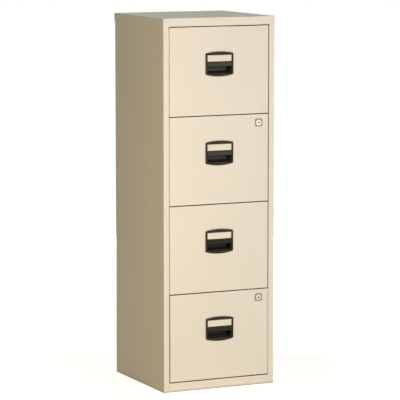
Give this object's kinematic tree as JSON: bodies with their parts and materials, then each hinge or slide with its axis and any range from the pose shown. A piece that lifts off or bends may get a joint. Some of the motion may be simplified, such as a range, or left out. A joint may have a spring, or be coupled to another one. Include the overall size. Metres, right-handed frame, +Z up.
{
  "type": "filing cabinet",
  "caption": "Tall narrow steel filing cabinet with stacked drawers on telescopic runners, recessed black pulls with label cards, and turning locks whose bolts hold the drawers shut",
  "frame": {"origin": "on the floor, at the middle of the cabinet", "axes": "+Z up, the drawers open towards -Y, +X to the right of someone facing the drawers"},
  "size_m": [0.42, 0.426, 1.282],
  "materials": {
    "cream_paint": "satin cream powder coat",
    "black_plastic": "fine-grained black moulding",
    "label_card": "plain cream card",
    "zinc_steel": "zinc-plated strip",
    "bearing_steel": "bright balls in a plated strip",
    "lock_bezel": "light grey-beige moulding",
    "lock_nickel": "satin nickel plate"
  },
  "bodies": {
    "carcass": {"left_side_panel": "cream_paint", "right_side_panel": "cream_paint", "top_panel": "cream_paint", "back_panel": "cream_paint", "base_panel": "cream_paint", "front_bottom_rail": "cream_paint", "cross_rail_1": "cream_paint", "cross_rail_2": "cream_paint", "cross_rail_3": "cream_paint", "left_rear_upright": "cream_paint", "right_rear_upright": "cream_paint", "runner_rivets": "zinc_steel", "drawer_1_outer_runners": "zinc_steel", "drawer_2_outer_runners": "zinc_steel", "drawer_3_outer_runners": "zinc_steel", "drawer_4_outer_runners": "zinc_steel"},
    "drawer_1": {"drawer_1_front": "cream_paint", "drawer_1_tray": "cream_paint", "drawer_1_handle": "black_plastic", "drawer_1_label_card": "label_card", "drawer_1_inner_runners": "zinc_steel"},
    "drawer_1_intermediates": {"drawer_1_intermediate_runners": "zinc_steel"},
    "drawer_1_outer_cages": {"drawer_1_outer_ball_cages": "bearing_steel"},
    "drawer_1_inner_cages": {"drawer_1_inner_ball_cages": "bearing_steel"},
    "drawer_2": {"drawer_2_front": "cream_paint", "drawer_2_tray": "cream_paint", "drawer_2_handle": "black_plastic", "drawer_2_label_card": "label_card", "drawer_2_inner_runners": "zinc_steel", "lock_2_housing": "lock_bezel"},
    "drawer_2_intermediates": {"drawer_2_intermediate_runners": "zinc_steel"},
    "drawer_2_outer_cages": {"drawer_2_outer_ball_cages": "bearing_steel"},
    "drawer_2_inner_cages": {"drawer_2_inner_ball_cages": "bearing_steel"},
    "drawer_3": {"drawer_3_front": "cream_paint", "drawer_3_tray": "cream_paint", "drawer_3_handle": "black_plastic", "drawer_3_label_card": "label_card", "drawer_3_inner_runners": "zinc_steel"},
    "drawer_3_intermediates": {"drawer_3_intermediate_runners": "zinc_steel"},
    "drawer_3_outer_cages": {"drawer_3_outer_ball_cages": "bearing_steel"},
    "drawer_3_inner_cages": {"drawer_3_inner_ball_cages": "bearing_steel"},
    "drawer_4": {"drawer_4_front": "cream_paint", "drawer_4_tray": "cream_paint", "drawer_4_handle": "black_plastic", "drawer_4_label_card": "label_card", "drawer_4_inner_runners": "zinc_steel", "lock_4_housing": "lock_bezel"},
    "drawer_4_intermediates": {"drawer_4_intermediate_runners": "zinc_steel"},
    "drawer_4_outer_cages": {"drawer_4_outer_ball_cages": "bearing_steel"},
    "drawer_4_inner_cages": {"drawer_4_inner_ball_cages": "bearing_steel"},
    "lock_2_key_plug": {"lock_2_plug": "lock_nickel", "lock_2_cam": "zinc_steel"},
    "lock_2_sliding_bolt": {"lock_2_bolt": "zinc_steel"},
    "lock_4_key_plug": {"lock_4_plug": "lock_nickel", "lock_4_cam": "zinc_steel"},
    "lock_4_sliding_bolt": {"lock_4_bolt": "zinc_steel"}
  },
  "joints": [
    {"name": "drawer_1_slide", "type": "slide", "parent": "carcass", "child": "drawer_1", "axis": [0, -1, 0], "range_m": [0, 0.35]},
    {"name": "drawer_1_intermediates_slide", "type": "slide", "parent": "carcass", "child": "drawer_1_intermediates", "axis": [0, -1, 0], "range_m": [0, 0.175]},
    {"name": "drawer_1_outer_cages_slide", "type": "slide", "parent": "carcass", "child": "drawer_1_outer_cages", "axis": [0, -1, 0], "range_m": [0, 0.0875]},
    {"name": "drawer_1_inner_cages_slide", "type": "slide", "parent": "carcass", "child": "drawer_1_inner_cages", "axis": [0, -1, 0], "range_m": [0, 0.2625]},
    {"name": "drawer_2_slide", "type": "slide", "parent": "carcass", "child": "drawer_2", "axis": [0, -1, 0], "range_m": [0, 0.35]},
    {"name": "drawer_2_intermediates_slide", "type": "slide", "parent": "carcass", "child": "drawer_2_intermediates", "axis": [0, -1, 0], "range_m": [0, 0.175]},
    {"name": "drawer_2_outer_cages_slide", "type": "slide", "parent": "carcass", "child": "drawer_2_outer_cages", "axis": [0, -1, 0], "range_m": [0, 0.0875]},
    {"name": "drawer_2_inner_cages_slide", "type": "slide", "parent": "carcass", "child": "drawer_2_inner_cages", "axis": [0, -1, 0], "range_m": [0, 0.2625]},
    {"name": "drawer_3_slide", "type": "slide", "parent": "carcass", "child": "drawer_3", "axis": [0, -1, 0], "range_m": [0, 0.35]},
    {"name": "drawer_3_intermediates_slide", "type": "slide", "parent": "carcass", "child": "drawer_3_intermediates", "axis": [0, -1, 0], "range_m": [0, 0.175]},
    {"name": "drawer_3_outer_cages_slide", "type": "slide", "parent": "carcass", "child": "drawer_3_outer_cages", "axis": [0, -1, 0], "range_m": [0, 0.0875]},
    {"name": "drawer_3_inner_cages_slide", "type": "slide", "parent": "carcass", "child": "drawer_3_inner_cages", "axis": [0, -1, 0], "range_m": [0, 0.2625]},
    {"name": "drawer_4_slide", "type": "slide", "parent": "carcass", "child": "drawer_4", "axis": [0, -1, 0], "range_m": [0, 0.35]},
    {"name": "drawer_4_intermediates_slide", "type": "slide", "parent": "carcass", "child": "drawer_4_intermediates", "axis": [0, -1, 0], "range_m": [0, 0.175]},
    {"name": "drawer_4_outer_cages_slide", "type": "slide", "parent": "carcass", "child": "drawer_4_outer_cages", "axis": [0, -1, 0], "range_m": [0, 0.0875]},
    {"name": "drawer_4_inner_cages_slide", "type": "slide", "parent": "carcass", "child": "drawer_4_inner_cages", "axis": [0, -1, 0], "range_m": [0, 0.2625]},
    {"name": "lock_2_key_turn", "type": "hinge", "parent": "drawer_2", "child": "lock_2_key_plug", "pos_m": [0.149, -0.21, 0.9169], "axis": [0, 1, 0], "range_deg": [0, 90]},
    {"name": "lock_2_bolt_slide", "type": "slide", "parent": "drawer_2", "child": "lock_2_sliding_bolt", "axis": [0, 0, 1], "range_m": [0, 0.00919]},
    {"name": "lock_4_key_turn", "type": "hinge", "parent": "drawer_4", "child": "lock_4_key_plug", "pos_m": [0.1504, -0.21, 0.3075], "axis": [0, 1, 0], "range_deg": [0, 90]},
    {"name": "lock_4_bolt_slide", "type": "slide", "parent": "drawer_4", "child": "lock_4_sliding_bolt", "axis": [0, 0, 1], "range_m": [0, 0.00919]}
  ],
  "couplings": [
    {"joint": "drawer_1_intermediates_slide", "follows": "drawer_1_slide", "ratio": 0.5},
    {"joint": "drawer_1_outer_cages_slide", "follows": "drawer_1_slide", "ratio": 0.25},
    {"joint": "drawer_1_inner_cages_slide", "follows": "drawer_1_slide", "ratio": 0.75},
    {"joint": "drawer_2_intermediates_slide", "follows": "drawer_2_slide", "ratio": 0.5},
    {"joint": "drawer_2_outer_cages_slide", "follows": "drawer_2_slide", "ratio": 0.25},
    {"joint": "drawer_2_inner_cages_slide", "follows": "drawer_2_slide", "ratio": 0.75},
    {"joint": "drawer_3_intermediates_slide", "follows": "drawer_3_slide", "ratio": 0.5},
    {"joint": "drawer_3_outer_cages_slide", "follows": "drawer_3_slide", "ratio": 0.25},
    {"joint": "drawer_3_inner_cages_slide", "follows": "drawer_3_slide", "ratio": 0.75},
    {"joint": "drawer_4_intermediates_slide", "follows": "drawer_4_slide", "ratio": 0.5},
    {"joint": "drawer_4_outer_cages_slide", "follows": "drawer_4_slide", "ratio": 0.25},
    {"joint": "drawer_4_inner_cages_slide", "follows": "drawer_4_slide", "ratio": 0.75},
    {"joint": "lock_2_key_turn", "follows": "lock_2_bolt_slide", "rad_per_m": 170.88},
    {"joint": "lock_4_key_turn", "follows": "lock_4_bolt_slide", "rad_per_m": 170.88}
  ]
}
